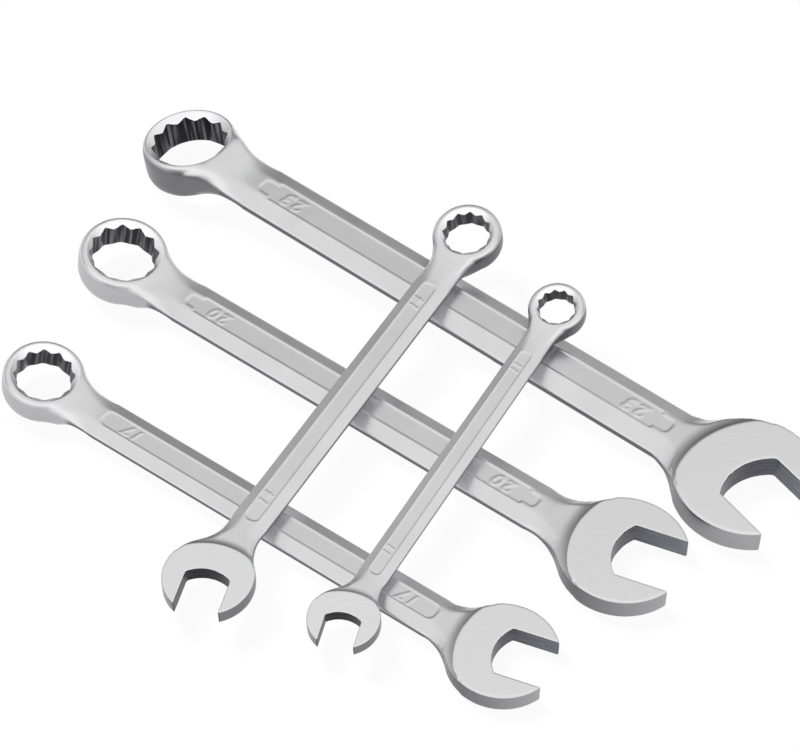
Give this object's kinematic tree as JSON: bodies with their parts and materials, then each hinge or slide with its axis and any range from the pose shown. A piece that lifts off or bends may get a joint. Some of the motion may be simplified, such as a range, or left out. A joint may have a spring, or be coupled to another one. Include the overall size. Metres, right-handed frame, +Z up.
{
  "type": "combination wrench set",
  "caption": "Set of loose combination wrenches in graded sizes, each with a twelve-point ring, an angled open jaw and a raised panel, as laid out on a bench.",
  "frame": {"origin": "bottom centre of the bounding box, on the bench", "axes": "+Z up from the bench, +X to the right and +Y away from the camera of the picture"},
  "size_m": [0.2616, 0.2436, 0.0242],
  "materials": {
    "satin_chrome": "satin"
  },
  "bodies": {
    "wrench_17mm": {"wrench_17mm": "satin_chrome"},
    "wrench_23mm": {"wrench_23mm": "satin_chrome"},
    "wrench_20mm": {"wrench_20mm": "satin_chrome"},
    "wrench_14mm": {"wrench_14mm": "satin_chrome"},
    "wrench_11mm": {"wrench_11mm": "satin_chrome"}
  },
  "joints": [
    {"name": "wrench_20mm_lift", "type": "slide", "parent": "wrench_17mm", "child": "wrench_20mm", "axis": [0, 0, 1], "range_m": [0, 0.06]},
    {"name": "wrench_23mm_lift", "type": "slide", "parent": "wrench_20mm", "child": "wrench_23mm", "axis": [0, 0, 1], "range_m": [0, 0.06]},
    {"name": "wrench_14mm_lift", "type": "slide", "parent": "wrench_23mm", "child": "wrench_14mm", "axis": [0, 0, 1], "range_m": [0, 0.06]},
    {"name": "wrench_11mm_lift", "type": "slide", "parent": "wrench_23mm", "child": "wrench_11mm", "axis": [0, 0, 1], "range_m": [0, 0.06]}
  ]
}
